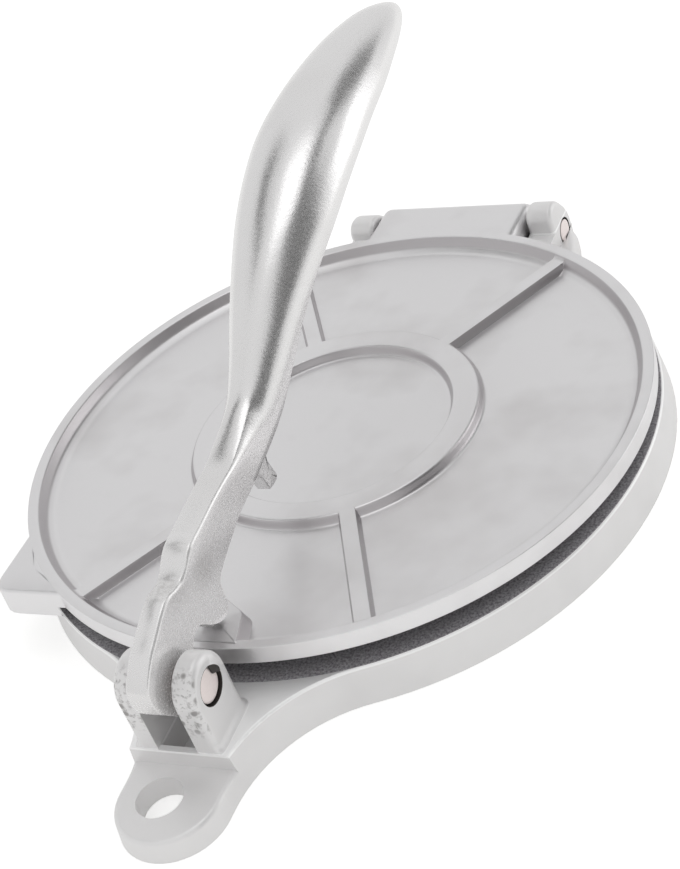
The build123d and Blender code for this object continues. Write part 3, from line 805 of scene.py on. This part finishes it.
# Dull patches on the lever, the first one painted shade on the right of the waist: place and reach in
# millimetres, and strength.
LEVER_DARK_PATCHES = [
    (4.0, -88.9, 45.6, 8.0, 0.3),
    (-1.0, -102.6, 49.5, 9.0, 0.4),
]


def lever_casting():
    """Lever: aluminium cast, tumbled and polished, so it mirrors softly with the sparkle of fine
    grit. The shank is whiter, mirrors less and has a fainter grit than the handle. It has two
    ragged dull patches: one on its crown behind the pivot, and one of painted shade on the right of
    its waist."""
    material, tree = new_material("satin_polished_aluminium_lever")
    place = add_node(tree, "TexCoord").outputs["Object"]
    tint, grit, dents = casting_grain(tree, place, "EBEAEA", "DEDCDB")
    blot = add_node(tree, "TexNoise", Vector=place, Scale=1 / BLOT, Detail=2.0).outputs[0]
    # Each patch darkens the tint; the one on the waist is painted shade.
    for x, y, z, reach, strength in LEVER_DARK_PATCHES:
        middle = (x * MM, y * MM, z * MM)
        away = add_node(tree, "VectorMath", APART, i0=place, i1=middle).outputs["Value"]
        end = reach * MM
        dark_patch = add_node(tree, "MapRange", SMOOTH, i0=away, i1=0.0, i2=end, i3=strength, i4=0.0)
        ragged = add_node(tree, "MapRange", i0=blot, i1=0.4, i2=0.6, i3=0.5, i4=1.3)
        share = add_node(tree, "Math", TIMES, i0=dark_patch.outputs[0], i1=ragged.outputs[0])
        dull = hex_colour("9C9996")
        tint = add_node(tree, "Mix", COLOUR, i0=share.outputs[0], i6=tint, i7=dull).outputs[2]
    satin = add_node(tree, "MapRange", i0=grit, i1=0.3, i2=0.7, i3=0.22, i4=0.3)
    spot = add_node(tree, "SeparateXYZ", Vector=place)
    low, high = SHANK_TO_HANDLE
    grit_share = add_node(tree, "MapRange", i0=spot.outputs[1], i1=low, i2=high, i3=0.06, i4=0.6)
    metal = add_node(tree, "MapRange", i0=spot.outputs[1], i1=low, i2=high, i3=0.5, i4=0.88)
    relief = casting_relief(tree, grit, dents, LEVER_GRIT_DEPTH, grit_share.outputs[0])
    body = add_node(
        tree, "BsdfPrincipled", Base_Color=tint, Metallic=metal.outputs[0],
        Roughness=satin.outputs[0], Normal=relief,
    )
    add_node(tree, "OutputMaterial", Surface=body.outputs[0])
    return material


def ground_steel():
    """Steel pins, cut with shears and ground: pale, slightly warm ends with fine scratches, and
    flanks painted dark as the shade in the bore round them."""
    material, tree = new_material("ground_steel_pin")
    coords = add_node(tree, "TexCoord")
    stretched = add_node(tree, "Mapping", Vector=coords.outputs["Object"], Scale=(1, 1, 5))
    scratch = add_node(
        tree, "TexNoise", Vector=stretched.outputs[0], Scale=1 / SCRATCH, Detail=4.0, Roughness=0.6
    ).outputs[0]
    tint = add_node(tree, "Mix", COLOUR, i0=scratch, i6=hex_colour("EFE3E0"), i7=hex_colour("FFF6F3"))
    facing = add_node(tree, "SeparateXYZ", Vector=coords.outputs["Normal"])
    end = add_node(tree, "Math", SIZE, i0=facing.outputs[0])
    # Painted shade: the pin's round flanks, seen in the groove inside the bore, are tinted dark.
    flank = add_node(tree, "MapRange", i0=end.outputs[0], i1=0.1, i2=0.5, i3=0.75, i4=0.0)
    tint = add_node(tree, "Mix", COLOUR, i0=flank.outputs[0], i6=tint.outputs[2], i7=hex_colour("4C4846"))
    polish = add_node(tree, "MapRange", i0=scratch, i1=0.3, i2=0.7, i3=0.36, i4=0.5)
    relief = add_node(tree, "Bump", Strength=0.4, Distance=SCRATCH_DEPTH, Height=scratch)
    body = add_node(
        tree, "BsdfPrincipled", Base_Color=tint.outputs[2], Metallic=0.35,
        Roughness=polish.outputs[0], Normal=relief.outputs[0],
    )
    add_node(tree, "OutputMaterial", Surface=body.outputs[0])
    return material


# ---- floor, backdrop and light ----
FLOOR_SIZE = 6.0
PAPER_GLOW_SEEN = 0.4
PAPER_GLOW_MIRRORED = 0.2
SURROUND_LIGHT = 0.78
SURROUND_SEEN = 1.0
# Lamps: azimuth, elevation, distance, size and power.
LAMPS = {
    "side_softbox": (50, 15, 1.3, 0.7, 1.4),
    "top_softbox": (60, 84, 1.3, 0.55, 0.8),
}
# Dark strips of cloth round the press, seen only in its polish: azimuth, low and high elevation.
FLAG_DISTANCE = 1.25
FLAGS = {
    "side_flag": [
        (5, 40, 50), (15, 22, 50), (28, 22, 54), (34, 48, 60), (57, 59, 69), (72, 54, 69),
        (79, 12, 68), (97, 10, 69), (116, 12, 68),
    ],
    "left_flag": [(-112, 60, 70), (-82, 46, 58), (-66, 44, 58), (-56, 54, 66)],
}


def from_azimuth(azimuth, elevation, distance):
    """Place seen from the press at an azimuth turned from +Y towards +X, and at an elevation."""
    a, e = radians(azimuth), radians(elevation)
    return Vector((sin(a) * cos(e), cos(a) * cos(e), sin(e))) * distance


def add_card(name, corners):
    """Card that belongs to the studio: a strip between two rows of corners, one above the other."""
    half = len(corners) // 2
    faces = [(i, i + 1, half + i + 1, half + i) for i in range(half - 1)]
    mesh = bpy.data.meshes.new(name)
    mesh.from_pydata(corners, [], faces)
    card = bpy.data.objects.new(name, mesh)
    bpy.context.collection.objects.link(card)
    return card


def add_lamp(name, azimuth, elevation, distance, size, power):
    """Square area lamp that faces the press."""
    lamp = bpy.data.lights.new(name, "AREA")
    lamp.size = size
    lamp.energy = power
    holder = bpy.data.objects.new(name, lamp)
    holder.location = from_azimuth(azimuth, elevation, distance)
    holder.rotation_euler = (-holder.location).to_track_quat("-Z", "Y").to_euler()
    bpy.context.collection.objects.link(holder)


def lay_floor():
    """Plain pale paper. It glows a little where the camera sees it, to match the surround, and
    half as much where the metal mirrors it."""
    half = FLOOR_SIZE / 2
    corners = [(-half, -half, 0), (half, -half, 0), (-half, half, 0), (half, half, 0)]
    floor = add_card("studio_floor", corners)
    material, tree = new_material("studio_paper")
    rays = add_node(tree, "LightPath").outputs
    paper = add_node(tree, "BsdfDiffuse", Color=hex_colour("F2F2F1"))
    mirrored_glow = add_node(tree, "Math", TIMES, i0=rays["Is Glossy Ray"], i1=PAPER_GLOW_MIRRORED)
    lift = add_node(
        tree, "Math", TIMES_AND_ADD, i0=rays["Is Camera Ray"], i1=PAPER_GLOW_SEEN,
        i2=mirrored_glow.outputs[0],
    )
    glow = add_node(tree, "Emission", Color=hex_colour("FFFFFF"), Strength=lift.outputs[0])
    both = add_node(tree, "AddShader", i0=paper.outputs[0], i1=glow.outputs[0])
    add_node(tree, "OutputMaterial", Surface=both.outputs[0])
    floor.data.materials.append(material)


def light_surround():
    """Even white surround: pure white to the camera, and a little less as a light."""
    world = bpy.data.worlds.new("studio_surround")
    bpy.context.scene.world = world
    world.use_nodes = True
    tree = world.node_tree
    tree.nodes.clear()
    rays = add_node(tree, "LightPath").outputs
    shown = add_node(tree, "Math", GREATER, i0=rays["Is Camera Ray"], i1=rays["Is Transmission Ray"])
    light = add_node(tree, "Background", Color=hex_colour("FFFFFF"), Strength=SURROUND_LIGHT)
    white = add_node(tree, "Background", Color=hex_colour("FFFFFF"), Strength=SURROUND_SEEN)
    mixed = add_node(
        tree, "MixShader", i0=shown.outputs[0], i1=light.outputs[0], i2=white.outputs[0]
    )
    add_node(tree, "OutputWorld", Surface=mixed.outputs[0])


def hang_flags():
    """Strips of grey cloth with a faint weave. They put the dark streaks in the polished lever,
    and neither the camera nor the light on the press meets them."""
    cloth, tree = new_material("grey_flag_cloth")
    weave = add_node(tree, "TexNoise", Scale=1 / WEAVE).outputs[0]
    tint = add_node(tree, "Mix", COLOUR, i0=weave, i6=hex_colour("545454"), i7=hex_colour("606060"))
    soft = add_node(tree, "BsdfDiffuse", Color=tint.outputs[2])
    add_node(tree, "OutputMaterial", Surface=soft.outputs[0])
    for name, stops in FLAGS.items():
        lower = [tuple(from_azimuth(azimuth, low, FLAG_DISTANCE)) for azimuth, low, high in stops]
        upper = [tuple(from_azimuth(azimuth, high, FLAG_DISTANCE)) for azimuth, low, high in stops]
        flag = add_card(name, lower + upper)
        flag.data.materials.append(cloth)
        flag.visible_camera = False
        flag.visible_diffuse = False
        flag.visible_shadow = False


def dress(node, material):
    """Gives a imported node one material."""
    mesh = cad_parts[node].data
    mesh.materials.clear()
    mesh.materials.append(material)


bpy.context.scene.view_settings.view_transform = "Standard"
place_camera()
lay_floor()
light_surround()
for lamp_name, setting in LAMPS.items():
    add_lamp(lamp_name, *setting)
hang_flags()

base_skin = base_casting()
plate_skin = plate_casting()
pins = ground_steel()
dress("base_plate", base_skin)

feet_grids = [
    clevis_skirt_grid(1),
    clevis_skirt_grid(-1),
    hinge_web_grid(1),
    hinge_web_grid(-1),
    burr_grid(),
]
closed_skin("base_feet_casting", feet_grids, base_skin, "base", None)

closed_plate = [top_plate_grid(), pad_grid(), *thumb_tab_grids(), tongue_grid()]
plate_grids = [swing(grid) for grid in closed_plate]
closed_skin("top_plate_casting", plate_grids, plate_skin, "plate", "top_plate")

lever_grids = [lever_grid(), nub_grid()]
lever_skin = lever_casting()
closed_skin("lever_casting", lever_grids, lever_skin, "lever", "press_lever")

near, far = HINGE_PIN_ENDS
for name, ends, radius, y, z in (
    ("lever_pivot_pin", PIVOT_PIN_ENDS, PIVOT_PIN_RADIUS, PIVOT_Y, PIVOT_Z),
    ("hinge_pin_left", (-far, -near), HINGE_PIN_RADIUS, HINGE_Y, HINGE_Z),
    ("hinge_pin_right", (near, far), HINGE_PIN_RADIUS, HINGE_Y, HINGE_Z),
):
    closed_skin(name + "_turned", [pin_grid(ends, radius, y, z)], pins, "base", name)
